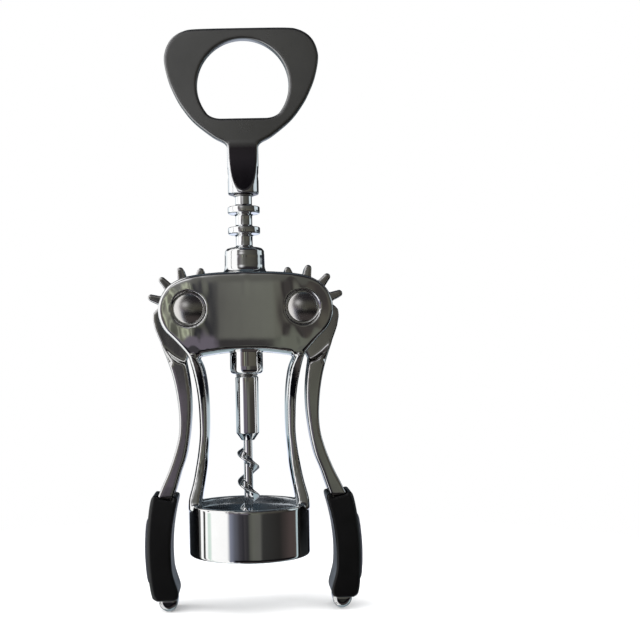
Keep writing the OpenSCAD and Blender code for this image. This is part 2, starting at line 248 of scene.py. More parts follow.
def rounded(profile, radii, n=6):
    """A profile's corners rounded: radii is one number or one for each point."""
    p = [np.array(q, float) for q in profile]
    if not hasattr(radii, "__len__"):
        radii = [0] + [radii] * (len(p) - 2) + [0]
    out = [p[0]]
    for i in range(1, len(p) - 1):
        r = radii[i]
        a, b = p[i - 1] - p[i], p[i + 1] - p[i]
        la, lb = np.linalg.norm(a), np.linalg.norm(b)
        if r <= 0 or la < 1e-6 or lb < 1e-6:
            out.append(p[i])
            continue
        a, b = a / la, b / lb
        half = math.acos(max(-1, min(1, float(a @ b)))) / 2
        t = min(r / max(math.tan(half), 1e-6), la * 0.48, lb * 0.48)
        s0, s1 = p[i] + a * t, p[i] + b * t
        for k in range(n + 1):
            w = k / n
            out.append((1 - w) ** 2 * s0 + 2 * w * (1 - w) * p[i] + w * w * s1)
    out.append(p[-1])
    return np.array(out)


def dense(p, most=0.8):
    """Adds points along a profile's long straight runs, so that shading stays even."""
    out = [p[0]]
    for a, b in zip(p[:-1], p[1:]):
        k = max(1, int(np.linalg.norm(b - a) / most))
        out += [a + (b - a) * (i + 1) / k for i in range(k)]
    return np.array(out)


def lathe(name, profile, m=128, closed=False, axis="z", at=(0, 0, 0)):
    """Turns a profile of (radius, height) about an axis. A closed profile makes a ring, an open one ends on the axis."""
    prof = np.array(profile, float)
    ang = np.linspace(0, 2 * math.pi, m, endpoint=False)
    ring = [i for i in range(len(prof))]
    pts, start = [], []
    for r, z in prof:
        start.append(len(pts))
        if r < 1e-6:
            pts.append((0, 0, z))
        else:
            pts += [(r * math.cos(t), r * math.sin(t), z) for t in ang]
    faces = []
    pairs = [(i, i + 1) for i in range(len(prof) - 1)] + ([(len(prof) - 1, 0)] if closed else [])
    for i, j in pairs:
        for k in range(m):
            q = (k + 1) % m
            if prof[i][0] < 1e-6 and prof[j][0] < 1e-6:
                continue
            if prof[i][0] < 1e-6:
                faces.append((start[i], start[j] + q, start[j] + k))
            elif prof[j][0] < 1e-6:
                faces.append((start[i] + k, start[i] + q, start[j]))
            else:
                faces.append((start[i] + k, start[i] + q, start[j] + q, start[j] + k))
    pts = np.array(pts, float)
    if axis == "y":
        pts = np.stack([pts[:, 0], pts[:, 2], -pts[:, 1]], 1)
    elif axis == "x":
        pts = np.stack([pts[:, 2], pts[:, 0], pts[:, 1]], 1)
    pts += np.array(at, float)
    o = make(name, pts, faces)
    import bmesh
    bm = bmesh.new()
    bm.from_mesh(o.data)
    bmesh.ops.recalc_face_normals(bm, faces=bm.faces)
    bm.to_mesh(o.data)
    bm.free()
    o.data.update()
    return o


# ---------------------------------------------------------------- sizes, mm
PX, PZ = 17.4, 76.2
BODY = 8.7
CAV = 5.3
HUB = 4.8
ARM = 6.3

body_edge = cr([(0, 87.4), (9, 87.2), (17.5, 86.2), (22.4, 84.2), (25.2, 81.4), (26.6, 78), (26.8, 75), (26.2, 72.2), (24.8, 69.6), (22.4, 67.2), (19.8, 64.4), (17.8, 61.9)])
body_under = cr([(15.4, 61.2), (11.6, 61.9), (6, 62.6), (0, 62.8)])
leg_out = cr([(17.8, 61.9), (16.7, 57.8), (15.7, 52.8), (15.1, 47.8), (14.85, 42.8), (14.8, 37.8), (15.3, 32.8), (16.1, 27.8), (17.1, 22.8), (18.4, 17.8), (18.5, 14.5)])
leg_in = cr([(14.6, 14.5), (14.3, 17.8), (13.4, 22.8), (12.6, 27.8), (12.2, 32.8), (11.8, 37.8), (11.7, 42.8), (11.8, 47.8), (12.2, 52.8), (13.1, 57.8), (14.6, 61.2), (15.4, 62)])
leg_side = cr([(8.6, 64), (8.5, 61.5), (7.2, 57), (6.1, 51), (5.6, 44), (5.6, 34), (6, 26), (7, 19.5), (7.8, 14)])
bell = join([(15.7, 0.5), (16.2, 0)], arc(18.2, 0.6, 0.6, -90, 0), arc(18.4, 15.3, 0.4, 0, 90, 4),
            [(17.1, 15.7), (16.8, 15.4), (16.7, 13.3), (13.2, 10.9), (12.9, 10.6), (12.9, 9.1), (15.7, 9.1)])
collar = join([(0, 80), (8.3, 80), (8.3, 87.1), (7, 87.6), (6.5, 88.2), (6.25, 89.2), (6.2, 92)],
              arc(5.4, 93.0, 0.8, 0, 30, 3), arc(3.8, 93.0, 2.6, 25, 72, 7), [(4.6, 95.6), (0, 95.6)])

# ---------------------------------------------------------------- frame
f_body = Field(mirrored(join(body_edge, body_under)))
f_leg = Field(join(leg_out, leg_in))
f_bell = Field(bell, res=0.12, soft=1)
f_collar = Field(np.concatenate([collar, collar[::-1] * [-1, 1]]), res=0.12, soft=1)
side_z = leg_side[::-1, 1]
side_y = leg_side[::-1, 0]


def frame_field(x, y, z):
    ax, ay = np.abs(x), np.abs(y)
    # the plates fall away a little towards their ends, with a polished casting's slow waves
    crown = 0.00665 * np.clip(ax - 8, 0, 30) ** 1.7 + 0.2 * np.clip(np.abs(z - 76) / 12, 0, 1.3) ** 4
    ends = np.clip((ax - 9) / 6, 0, 1)
    wave = 0.028 * (np.sin(0.95 * x + 0.42 * z + 1.0) + np.sin(0.38 * z - 0.7 * x + 2.0)) * ends * ends * (3 - 2 * ends)
    db, ab = f_body(x, z), ay - (BODY - crown + wave)
    body = corner(db, ab, 1.0)
    # the arch between the legs is undercut by a bevel
    under = np.clip((66.5 - z) / 1.2, 0, 1) * np.clip((15.0 - ax) / 1.0, 0, 1)
    body = smax(body, db * 0.872 + ab * 0.489 + 1.0 - 4 * (1 - under), 0.4)
    # a leg has a narrow front and broad slanted sides, the inner one steeper
    dl = f_leg(ax, z)
    al = ay - np.interp(z, side_z, side_y)
    inner = (np.interp(z, leg_in[:, 1], leg_in[:, 0]) - ax) * 0.9 + al * 0.407 + 0.86
    outer = (ax - np.interp(z, leg_out[::-1, 1], leg_out[::-1, 0])) * 0.79 + al * 0.602 + 0.5
    leg = smax(smax(corner(dl, al, 0.5), inner, 0.45), outer, 0.3)
    r = np.sqrt(x * x + y * y)
    f = smin(body, leg, 0.8)
    # the gap between the plates, and its slots above the legs
    hub = np.sqrt((ax - PX) ** 2 + (z - PZ) ** 2)
    gap = corner(hub - 14.4, ay - CAV, 0.3)
    slot_x = np.abs(ax - 12.9) - 4.1
    slot_z = np.abs(z - 63.7) - 2.5
    slot = np.maximum(np.maximum(slot_x, slot_z), ay - CAV)
    f = smax(f, -np.minimum(gap, slot), 0.3)
    f = smin(f, smax(f_collar(r, z), -(hub - 14.4), 0.3), 0.5)
    f = smin(f, f_bell(r, z), 1.1)
    bore = np.maximum(r - 5.2, np.abs(z - 80) - 20)
    f = smax(f, -bore, 0.25)
    pin = np.maximum(hub - 3.0, ay - 20)
    seat = corner(hub - 5.35, (BODY - 1.0) - ay, 0.2)
    return smax(f, -np.minimum(pin, seat), 0.3)


step = 0.42
o_frame = solid("frame_casting", frame_field, (-28, -20.2, -1.2), (28, 20.2, 97), step)

# ---------------------------------------------------------------- rivets
def dome(name, side, front):
    """A rivet's domed head: a low dome on a short cylindrical rim, with a soft shoulder."""
    h, r = 1.45, 4.6
    big = (r * r + h * h) / (2 * h)
    a = math.asin(r / big)
    top = [(big * math.sin(a * (1 - k / 14)), 0.55 + big * math.cos(a * (1 - k / 14)) - (big - h)) for k in range(15)]
    prof = [(0, -0.5), (3.0, -0.5), (3.0, 0.0), (r - 0.25, 0.0), (r, 0.18), (r, 0.4), (r - 0.06, 0.56)] + top[1:]
    prof[-1] = (0, prof[-1][1])
    prof = [(p, -q if front else q) for p, q in prof]
    y = (-BODY + 1.0) if front else (BODY - 1.0)
    return lathe(name, prof, 96, axis="y", at=(side * PX, y, PZ))


def washers(name, side):
    pts = []
    prof = dense(rounded([(3.05, 0.02), (5, 0.02), (5, 0.38), (3.05, 0.38)], 0.08, 3))
    a = lathe(name, prof, 72, closed=True, axis="y", at=(side * PX, -CAV, PZ))
    b = lathe(name + "_b", prof * [1, -1], 72, closed=True, axis="y", at=(side * PX, CAV, PZ))
    bpy.ops.object.select_all(action="DESELECT")
    a.select_set(True)
    b.select_set(True)
    bpy.context.view_layer.objects.active = a
    bpy.ops.object.join()
    a.name = name
    return a


# the rivet's shank is turned with its front head
def shank(name, side):
    prof = dense(rounded([(0, -7.6), (3, -7.6), (3, 7.6), (0, 7.6)], 0.2, 3))
    return lathe(name, prof, 64, axis="y", at=(side * PX, 0, PZ))


# ---------------------------------------------------------------- wings
arm_out = cr([(28.7, 73.2), (28.1, 70.3), (27.2, 67.8), (26.1, 65), (24.4, 60.3), (23, 55.3), (22.1, 50.3), (21.6, 45.3), (21.5, 41.5), (21.8, 37.8), (22.7, 34), (23.9, 30.3), (25.6, 26), (27.5, 22), (29.3, 18)])
arm_in = cr([(24.2, 18), (23, 21.5), (21.6, 26), (20, 30.3), (18.9, 35.3), (18.2, 40.3), (17.8, 45.3), (17.8, 50.3), (18.2, 55), (18.8, 59)])
grip_out = cr([(30.3, 19.3), (31, 18.3), (31.5, 16.3), (32, 13.2), (32.5, 9), (32.8, 4), (32.8, -1), (32.6, -5), (32.3, -8.6), (31.8, -11.4), (31.3, -12.5), (30.3, -13.1)])
grip_in = cr([(25.2, -13.1), (24, -12.6), (23.5, -11.4), (23.6, -10), (24.3, -7.6), (25, -5), (25.3, -2), (25.3, 3), (24.8, 8.5), (23.9, 13.4), (23, 17), (22.9, 18.2), (23.3, 18.7)])
tang_out = cr([(29.3, 18), (29.9, 12), (30.4, 6), (30.5, 0), (30.2, -6), (29.2, -14)])
tang_in = cr([(25.6, -14), (26.4, -8), (27, -3), (27.1, 2), (26.7, 8), (25.6, 13.4), (24.2, 18)])

f_root = Field(join([(26, 77.2), (27.5, 76.5), (28.6, 75.2)], [p for p in arm_out if p[1] > 58],
                    [(18.9, 58.4), (19, 60.4), (17.7, 63.1), (14.6, 67.5), (17.4, 72)]))
f_arm = Field(join([p for p in arm_out if p[1] < 65.9], arm_in, [(19, 60.1), (20.7, 60.9), (22.9, 62.4), (24.8, 64.2)]))
f_tang = Field(join(tang_out, tang_in))
f_end = Field([(24, -12.4), (29.9, -12.4), (29.9, -14.4), (29.4, -15.6), (28.5, -16.5), (27.3, -17), (26.1, -16.9), (25, -16.3), (24.2, -15.3), (24, -14.2)])


def tooth_field(x, z):
    d = None
    for k in range(7):
        a = math.radians(19 + 30 * k)
        u = (x - PX) * math.cos(a) + (z - PZ) * math.sin(a)
        w = (z - PZ) * math.cos(a) - (x - PX) * math.sin(a)
        t = np.clip((u - 8) / 4.25, 0, 1)
        r = 1.55 - 0.5 * t
        e = np.sqrt((u - 8 - 4.25 * t) ** 2 + w * w) - r
        d = e if d is None else np.minimum(d, e)
    return d


def wing_field(x, y, z):
    ay = np.abs(y)
    hub_r = np.sqrt((x - PX) ** 2 + (z - PZ) ** 2)
    gear = smin(hub_r - 9.3, tooth_field(x, z), 0.8)
    thin = corner(smin(gear, f_root(x, z), 0.8), ay - HUB, 0.45)
    d = f_arm(x, z)
    # the arm's depth swells a little where it enters the grip
    depth = ARM - 0.25 * np.clip((z - 22) / 20, 0, 1)
    # small edges along the arm, a broad slope at its shoulder
    top = np.clip((z - 58.6) / 1.6, 0, 1)
    arm = smax(corner(d, ay - depth, 0.42), (d + ay - depth) * 0.7071 + 0.28 + 0.62 * top * top * (3 - 2 * top), 0.3)
    de = f_end(x, z)
    end = smax(corner(de, ay - 4.2, 0.25), (de + ay - 4.2) * 0.7071 + 0.75, 0.2)
    end = np.maximum(end, z + 13.12)
    f = smin(thin, arm, 0.35)
    f = smin(f, np.minimum(corner(f_tang(x, z), ay - 3.5, 0.3), end), 0.2)
    return smax(f, -(hub_r - 3.05), 0.2)


def put(pts, side, close):
    """The right wing's points, turned about its pivot and mirrored for the left one."""
    a = math.radians(close)
    x, z = pts[:, 0] - PX, pts[:, 2] - PZ
    # a turn about +Y takes z towards x
    nx, nz = x * math.cos(a) + z * math.sin(a), z * math.cos(a) - x * math.sin(a)
    out = np.stack([(nx + PX) * side, pts[:, 1], nz + PZ], 1)
    return out


def pair(name, f, lo, hi, h):
    pts, quads = surface(f, lo, hi, h)
    left = make(name + "_left", put(pts, -1, 0.9), quads[:, ::-1].copy())
    right = make(name + "_right", put(pts, 1, -0.9), quads)
    return left, right


lever_l, lever_r = pair("lever_casting", wing_field, (2.5, -7.2, -18.2), (32.6, 7.2, 91), 0.36)

f_grip = Field(join(grip_out, grip_in))
f_grip_in = Field(join([(29.3, 21.5)], tang_out, tang_in, [(24.2, 21.5)]))
f_mouth = Field([(23.95, 17.6), (29.6, 17.6), (29.6, 22), (22.6, 22)])
f_rim = Field([(24.3, 22), (24.3, 17.75), (24.6, 17.5), (28.8, 18.5), (29.1, 18.8), (29.1, 22)])
pad_edge = cr([(31.2, 12), (32.5, 11.9), (33.2, 8.5), (33.6, 2), (33.4, -4), (32.8, -7.6), (31.4, -7.8), (31.7, -4), (31.9, 2), (31.7, 8), (31.2, 12)], 6)
f_pad = Field(pad_edge, res=0.12, soft=1)


def grip_field(x, y, z):
    ay = np.abs(y)
    d = f_grip(x, z)
    # the moulding is a little slimmer, front to back, at its two ends
    depth = 7.5 - 0.3 * np.clip((z - 8) / 11, 0, 1) ** 2 - 0.25 * np.clip((-7 - z) / 6, 0, 1) ** 2
    f = corner(d, ay - depth, 0.75)
    # its outer edges are broken by a slope
    side = np.clip((x - 28) / 2.5, 0, 1)
    f = smax(f, (d + ay - depth) * 0.7071 + 0.62 - 2.5 * (1 - side), 0.3)
    f = smax(f, -np.maximum(f_rim(x, z), 3.6 - ay), 0.45)
    f = smax(f, -np.maximum(f_mouth(x, z), ay - ARM - 0.1), 0.25)
    f = smax(f, -np.maximum(f_grip_in(x, z), ay - 3.52), 0.1)
    # a parting line runs round the middle of the moulding
    seam = np.maximum(np.abs(ay) - 0.09, -(d + 0.12))
    f = smax(f, -seam, 0.05)
    return smax(f, -np.maximum(f_pad(x, z) - 0.06, ay - 4.56), 0.15)


def pad_field(x, y, z):
    ay = np.abs(y)
    ribs = 0.2 * np.clip(np.cos(2 * math.pi * (z - 2.1) / 2.0) * 1.5, -1, 1) - 0.2
    outer = np.clip((x - 32.3) / 0.5, 0, 1)
    across = np.clip((3.9 - ay) / 0.3, 0, 1)
    return corner(f_pad(x, z) - ribs * outer * across, ay - 4.5, 0.3)


grip_l, grip_r = pair("grip_shell", grip_field, (21.4, -8.4, -14.6), (34.4, 8.4, 20.6), 0.34)
pad_l, pad_r = pair("grip_insert", pad_field, (30.3, -5.4, -8.8), (34.6, 5.4, 13), 0.24)

# ---------------------------------------------------------------- opener head
head_edge = cr([(0, 163.7), (13.8, 163.6), (17.9, 163), (21, 161.3), (23, 158.7), (24, 155.4), (23.9, 152.4), (22.9, 148), (21.3, 144), (19.1, 139.9), (15.2, 134.9), (9.3, 130.1), (5.7, 128.1), (4.8, 126.8)])
f_head = Field(mirrored(join(head_edge, [(4.8, 120), (0, 120)])))


def head_field(x, y, z):
    ay = np.abs(y)
    hole = np.sqrt((x - 0.4) ** 2 + (z - 146) ** 2) - 14.3
    hole = corner(hole, 135.6 - z, 1.7)
    plate = corner(smax(f_head(x, z), -hole, 0.1), ay - 1.75, 0.7)
    r = np.sqrt(x * x + y * y)
    stem = corner(r - 4.8, np.abs(z - 120.05) - 8.15, 0.4)
    cut = np.sqrt((ay - (1.75 + 36.5)) ** 2 + (z - 127) ** 2) - 36.5
    above = np.maximum(1.75 - ay, 127 - z)
    stem = smax(stem, -np.minimum(cut, above), 0.25)
    f = smin(plate, stem, 0.3)
    bore = np.maximum(r - 1.6, z - 123)
    cross = np.sqrt(y * y + (z - 117.5) ** 2) - 1.0
    return smax(f, -np.minimum(bore, cross), 0.15)


o_head = solid("opener_casting", head_field, (-25, -5.8, 110.8), (25, 5.8, 164.8), 0.36)

# ---------------------------------------------------------------- turned parts
def ring_points(z):
    return [(2.6, z + 1.7), (3.05, z + 1.3), (5.0, z + 1.0), (5.0, z - 1.0), (3.05, z - 1.4), (2.6, z - 1.8)]


prof, radii = [(1.65, 111.3), (2.6, 111.3)], [0, 0.15]
for i in range(7):
    prof += ring_points(107 - 6.4 * i)
    radii += [0.35, 0.35, 0.35, 0.5, 0.4, 0.4]
prof += [(2.6, 66.2), (3.0, 65.8), (5.12, 65.4), (5.12, 55.9), (1.65, 55.9)]
radii += [0.3, 0.3, 0.4, 1.5, 0]
o_rack = lathe("rack_turned", dense(rounded(prof, radii, 6), 1.2), 128, closed=True)

o_socket = lathe("socket_turned", dense(rounded([(0, 35.3), (2.0, 35.3), (3.6, 37.6), (3.6, 54.9), (3.1, 55.35), (0, 55.35)], [0, 0.2, 0.5, 0.25, 0.2, 0], 5), 1.2), 112)
o_rod = lathe("rod_turned", dense(rounded([(0, 46.02), (1.6, 46.02), (1.6, 122.8), (0, 122.8)], 0.15, 3), 1.5), 48)
o_wash_up = lathe("thrust_ring_upper", rounded([(1.65, 111.3), (3.1, 111.3), (3.1, 111.85), (1.65, 111.85)], 0.12, 3), 72, closed=True)
o_wash_lo = lathe("thrust_ring_lower", rounded([(1.65, 55.4), (3.4, 55.4), (3.4, 55.9), (1.65, 55.9)], 0.12, 3), 72, closed=True)
o_pin_h = lathe("handle_cross_pin", dense(rounded([(0, -4.5), (1, -4.5), (1, 4.5), (0, 4.5)], 0.2, 3), 0.8), 40, axis="x", at=(0, 0, 117.5))
o_pin_s = lathe("socket_cross_pin", dense(rounded([(0, -3.4), (0.9, -3.4), (0.9, 3.4), (0, 3.4)], 0.2, 3), 0.8), 40, axis="x", at=(0, 0, 50))

# ---------------------------------------------------------------- worm
def smooth(t):
    u = np.clip(t, 0, 1)
    return u * u * (3 - 2 * u)


def worm_mesh():
    n, m = 520, 72
    tip = 9.3
    zs = np.concatenate([[tip + 0.02, tip + 0.1], np.linspace(tip + 0.2, 35.3, n), [36, 44.9]])
    a = np.linspace(0, 2 * math.pi, m, endpoint=False)
    Z, A = np.meshgrid(zs, a, indexing="ij")
    ph = A / (2 * math.pi) + (Z - tip + 0.5) / 9.0 + 0.5
    d = np.abs(ph - np.floor(ph) - 0.5) * 2
    c = 1.4 * (0.06 + 0.94 * smooth((Z - tip) / 5.5) ** 0.7)
    # the flight's section: straight flanks to a small land, a fillet at its root
    t = np.clip(1 - d / 0.38, 0, 1)
    fl = np.clip(t * 1.14, 0, 1)
    fl = 0.35 * fl * fl + 0.65 * fl - 0.08 * np.exp(-((fl - 1) / 0.14) ** 2)
    R = c + 2.2 * fl * smooth((Z - tip) / 7) * smooth((34.3 - Z) / 3)
    P = np.stack([R * np.cos(A), R * np.sin(A), Z], -1).reshape(-1, 3)
    k = len(zs)
    faces = []
    for i in range(k - 1):
        for j in range(m):
            q = (j + 1) % m
            faces.append((i * m + j, i * m + q, (i + 1) * m + q, (i + 1) * m + j))
    lo = len(P)
    P = np.concatenate([P, [[0, 0, tip], [0, 0, 44.9]]])
    faces += [(lo, (j + 1) % m, j) for j in range(m)]
    faces += [(lo + 1, (k - 1) * m + j, (k - 1) * m + (j + 1) % m) for j in range(m)]
    return make("worm_ground", P, faces)


o_worm = worm_mesh()

rivets = {}
for side, word in ((-1, "left"), (1, "right")):
    head = dome("rivet_head_" + word, side, True)
    stub = shank("rivet_shank_" + word, side)
    bpy.ops.object.select_all(action="DESELECT")
    head.select_set(True)
    stub.select_set(True)
    bpy.context.view_layer.objects.active = head
    bpy.ops.object.join()
    rivets["pivot_rivet_" + word] = head
    rivets["rivet_cap_" + word] = dome("cap_dome_" + word, side, False)
    rivets["pivot_washers_" + word] = washers("washer_pair_" + word, side)


# ---------------------------------------------------------------- materials
class Nodes:
    """Short names for building a material's nodes."""

    def __init__(self, name):
        self.mat = bpy.data.materials.new(name)
        self.mat.use_nodes = True
        self.t = self.mat.node_tree
        self.b = self.t.nodes["Principled BSDF"]
        self.co = self.t.nodes.new("ShaderNodeTexCoord").outputs["Object"]

    def link(self, a, b):
        self.t.links.new(a, b)

    def noise(self, scale, detail=3, rough=0.5, stretch=None):
        src = self.co
        if stretch:
            m = self.t.nodes.new("ShaderNodeMapping")
            m.inputs["Scale"].default_value = stretch
            self.link(src, m.inputs["Vector"])
            src = m.outputs["Vector"]
        n = self.t.nodes.new("ShaderNodeTexNoise")
        n.inputs["Scale"].default_value = scale
        n.inputs["Detail"].default_value = detail
        n.inputs["Roughness"].default_value = rough
        self.link(src, n.inputs["Vector"])
        return n.outputs["Fac"]

    def ramp(self, fac, stops):
        r = self.t.nodes.new("ShaderNodeValToRGB")
        e = r.color_ramp.elements
        while len(e) < len(stops):
            e.new(0.5)
        for el, (p, c) in zip(e, stops):
            el.position = p
            el.color = (*c, 1) if len(c) == 3 else c
        self.link(fac, r.inputs["Fac"])
        return r.outputs["Color"]

    def grey(self, fac, lo, hi, a=0.3, b=0.7):
        m = self.t.nodes.new("ShaderNodeMapRange")
        m.inputs["From Min"].default_value = a
        m.inputs["From Max"].default_value = b
        m.inputs["To Min"].default_value = lo
        m.inputs["To Max"].default_value = hi
        self.link(fac, m.inputs["Value"])
        return m.outputs["Result"]

    def math(self, op, a, b=None):
        m = self.t.nodes.new("ShaderNodeMath")
        m.operation = op
        for i, v in enumerate((a, b)):
            if v is None:
                continue
            if isinstance(v, (int, float)):
                m.inputs[i].default_value = v
            else:
                self.link(v, m.inputs[i])
        return m.outputs["Value"]

    def blend(self, fac, a, colour):
        n = self.t.nodes.new("ShaderNodeMix")
        n.data_type = "RGBA"
        self.link(fac, n.inputs["Factor"])
        self.link(a, n.inputs["A"])
        n.inputs["B"].default_value = (*colour, 1)
        return n.outputs["Result"]

    def bump(self, height, strength, distance, normal=None):
        b = self.t.nodes.new("ShaderNodeBump")
        b.inputs["Strength"].default_value = strength
        b.inputs["Distance"].default_value = distance
        self.link(height, b.inputs["Height"])
        if normal is not None:
            self.link(normal, b.inputs["Normal"])
        return b.outputs["Normal"]


def metal(name, lo, hi, rough, wave=0.0, grain=0.0, scale=900, spots=0.5, edge=None, stem=False, dull_shaded_cup=False):
    """Polished or satin plated metal: a tone that drifts a little, faint handling marks and a cast surface's slow waviness."""
    m = Nodes(name)
    m.b.inputs["Metallic"].default_value = 1.0
    if edge:
        m.b.inputs["Specular Tint"].default_value = (edge, edge, edge, 1)
    tone = m.noise(55, 4, 0.55)
    col = m.ramp(tone, [(0.3, lo), (0.7, hi)])
    if stem:
        # the round stem is polished bright, and the tongue's scoop in its front is coloured almost black as painted
        # shade in that hollow
        xyz = m.t.nodes.new("ShaderNodeSeparateXYZ")
        m.link(m.co, xyz.inputs[0])
        rad = m.math("SQRT", m.math("ADD", m.math("MULTIPLY", xyz.outputs[0], xyz.outputs[0]), m.math("MULTIPLY", xyz.outputs[1], xyz.outputs[1])))
        low = m.grey(xyz.outputs[2], 1.0, 0.0, 0.1262, 0.1282)
        bright = m.math("MULTIPLY", low, m.grey(rad, 0.0, 1.0, 0.00452, 0.00466))
        tongue_painted_shade = m.math("MULTIPLY", low, m.grey(rad, 1.0, 0.0, 0.00452, 0.00466))
        # painted shade: the tongue's hollow gets a near-black colour
        col = m.blend(tongue_painted_shade, col, (0.085, 0.075, 0.088))
        col = m.blend(bright, col, (0.80, 0.80, 0.81))
    if dull_shaded_cup:
        # inside the ring the casting is rougher, and its colour is darker and bluish as painted shade in the hollow
        xyz = m.t.nodes.new("ShaderNodeSeparateXYZ")
        m.link(m.co, xyz.inputs[0])
        rad = m.math("SQRT", m.math("ADD", m.math("MULTIPLY", xyz.outputs[0], xyz.outputs[0]), m.math("MULTIPLY", xyz.outputs[1], xyz.outputs[1])))
        inner = m.math("MULTIPLY", m.grey(rad, 1.0, 0.0, 0.0170, 0.0174), m.grey(xyz.outputs[2], 1.0, 0.0, 0.0152, 0.0156))
        # painted shade: a darker bluish colour inside the ring
        col = m.blend(inner, col, (0.40, 0.43, 0.46))
    m.link(col, m.b.inputs["Base Color"])
    smear = m.noise(140, 6, 0.65, stretch=(1, 1, 0.35))
    fine = m.noise(scale * 3, 3, 0.6)
    r = m.math("ADD", m.grey(smear, rough[0], rough[1], 0.35, 0.7), m.grey(fine, -0.01 * spots, 0.03 * spots, 0.4, 0.75))
    if dull_shaded_cup:
        r = m.math("ADD", r, m.math("MULTIPLY", inner, 0.22))
    if stem:
        r = m.math("MULTIPLY", r, m.math("SUBTRACT", 1.0, m.math("MULTIPLY", bright, 0.7)))
    m.link(r, m.b.inputs["Roughness"])
    n = None
    if wave:
        n = m.bump(m.noise(110, 1, 0.4, stretch=(1, 1, 0.45)), wave, 0.0004)
    if grain:
        n = m.bump(m.noise(scale * 4, 2, 0.5), grain, 0.00002, n)
    if n is not None:
        m.link(n, m.b.inputs["Normal"])
    return m.mat


chrome_frame = metal("dark_chrome_casting", (0.74, 0.74, 0.735), (0.82, 0.82, 0.815), (0.03, 0.08), wave=0.14, grain=0.03, dull_shaded_cup=True)
chrome_lever = metal("dark_chrome_wing", (0.62, 0.61, 0.61), (0.70, 0.69, 0.685), (0.07, 0.16), wave=0.16, grain=0.06, edge=0.35)
satin_head = metal("satin_black_nickel", (0.27, 0.27, 0.27), (0.33, 0.33, 0.33), (0.27, 0.36), grain=0.35, scale=1100, spots=1.5, edge=0.0, stem=True)
chrome_turned = metal("bright_chrome_turned", (0.80, 0.81, 0.82), (0.88, 0.88, 0.88), (0.02, 0.06), wave=0.06, grain=0.02)
chrome_rivet = metal("rivet_chrome_dome", (0.56, 0.545, 0.53), (0.66, 0.64, 0.62), (0.22, 0.29), wave=0.2, grain=0.12)
chrome_worm = metal("worm_chrome_ground", (0.78, 0.79, 0.80), (0.86, 0.86, 0.87), (0.04, 0.12), wave=0.12, grain=0.10, scale=700)


def steel():
    m = Nodes("turned_plain_steel")
    m.b.inputs["Metallic"].default_value = 1.0
    tone = m.noise(120, 4)
    m.link(m.ramp(tone, [(0.3, (0.42, 0.42, 0.42)), (0.7, (0.54, 0.53, 0.52))]), m.b.inputs["Base Color"])
    lines = m.noise(2200, 3, 0.5, stretch=(0.1, 0.1, 1))
    m.link(m.grey(lines, 0.2, 0.38), m.b.inputs["Roughness"])
    m.link(m.bump(lines, 0.2, 0.00002), m.b.inputs["Normal"])
    return m.mat


def plastic(name, lo, hi, rough, grain, scale):
    m = Nodes(name)
    tone = m.noise(60, 4, 0.6)
    m.link(m.ramp(tone, [(0.3, lo), (0.72, hi)]), m.b.inputs["Base Color"])
    smear = m.noise(110, 5, 0.6)
    m.link(m.grey(smear, rough[0], rough[1], 0.3, 0.7), m.b.inputs["Roughness"])
    m.b.inputs["Specular IOR Level"].default_value = 0.45
    v = m.t.nodes.new("ShaderNodeTexVoronoi")
    v.inputs["Scale"].default_value = scale
    m.link(m.co, v.inputs["Vector"])
    n = m.bump(v.outputs["Distance"], grain, 0.00004)
    n = m.bump(m.noise(scale * 1.7, 3, 0.6), grain * 0.6, 0.00003, n)
    m.link(n, m.b.inputs["Normal"])
    return m.mat


steel_plain = steel()
grip_black = plastic("moulded_grip_black", (0.0007, 0.0007, 0.0008), (0.0016, 0.0016, 0.0019), (0.36, 0.48), 0.25, 1500)
pad_black = plastic("ribbed_pad_rubber", (0.030, 0.032, 0.042), (0.046, 0.048, 0.064), (0.5, 0.68), 0.35, 1900)


def finish_piece(o, mat, body, *replaced, slot=None):
    o.data.materials.clear()
    o.data.materials.append(mat)
    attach(o, body)
    if replaced:
        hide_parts(*replaced)
    return o


finish_piece(o_frame, chrome_frame, "frame", "frame", slot="frame_chrome")
for word in ("left", "right"):
    for n in ("pivot_rivet_", "rivet_cap_"):
        finish_piece(rivets[n + word], chrome_rivet, "frame", n + word, slot="rivet_chrome")
    finish_piece(rivets["pivot_washers_" + word], steel_plain, "frame", "pivot_washers_" + word, slot="plain_steel")
finish_piece(o_rack, chrome_turned, "rack", "rack_sleeve", slot="rack_chrome")
finish_piece(o_wash_up, steel_plain, "rack", "thrust_washer_upper", slot="plain_steel")
finish_piece(o_wash_lo, steel_plain, "rack", "thrust_washer_lower", slot="plain_steel")
finish_piece(o_head, satin_head, "spindle", "opener_handle", slot="handle_black_nickel")
finish_piece(o_pin_h, steel_plain, "spindle", "handle_pin", slot="plain_steel")
finish_piece(o_rod, steel_plain, "spindle", "spindle_rod", slot="plain_steel")
finish_piece(o_socket, chrome_turned, "spindle", "worm_socket", slot="rack_chrome")
finish_piece(o_pin_s, steel_plain, "spindle", "socket_pin", slot="plain_steel")
finish_piece(o_worm, chrome_worm, "spindle", "worm", slot="worm_chrome")
for word, lev, gr, pd in (("left", lever_l, grip_l, pad_l), ("right", lever_r, grip_r, pad_r)):
    finish_piece(lev, chrome_lever, "lever_" + word, "lever_" + word, slot="lever_chrome")
    finish_piece(gr, grip_black, "lever_" + word, "grip_" + word, slot="grip_black")
    finish_piece(pd, pad_black, "lever_" + word, "grip_pad_" + word, slot="pad_rubber")

# ---------------------------------------------------------------- surroundings
FLOOR = -17.3 * MM


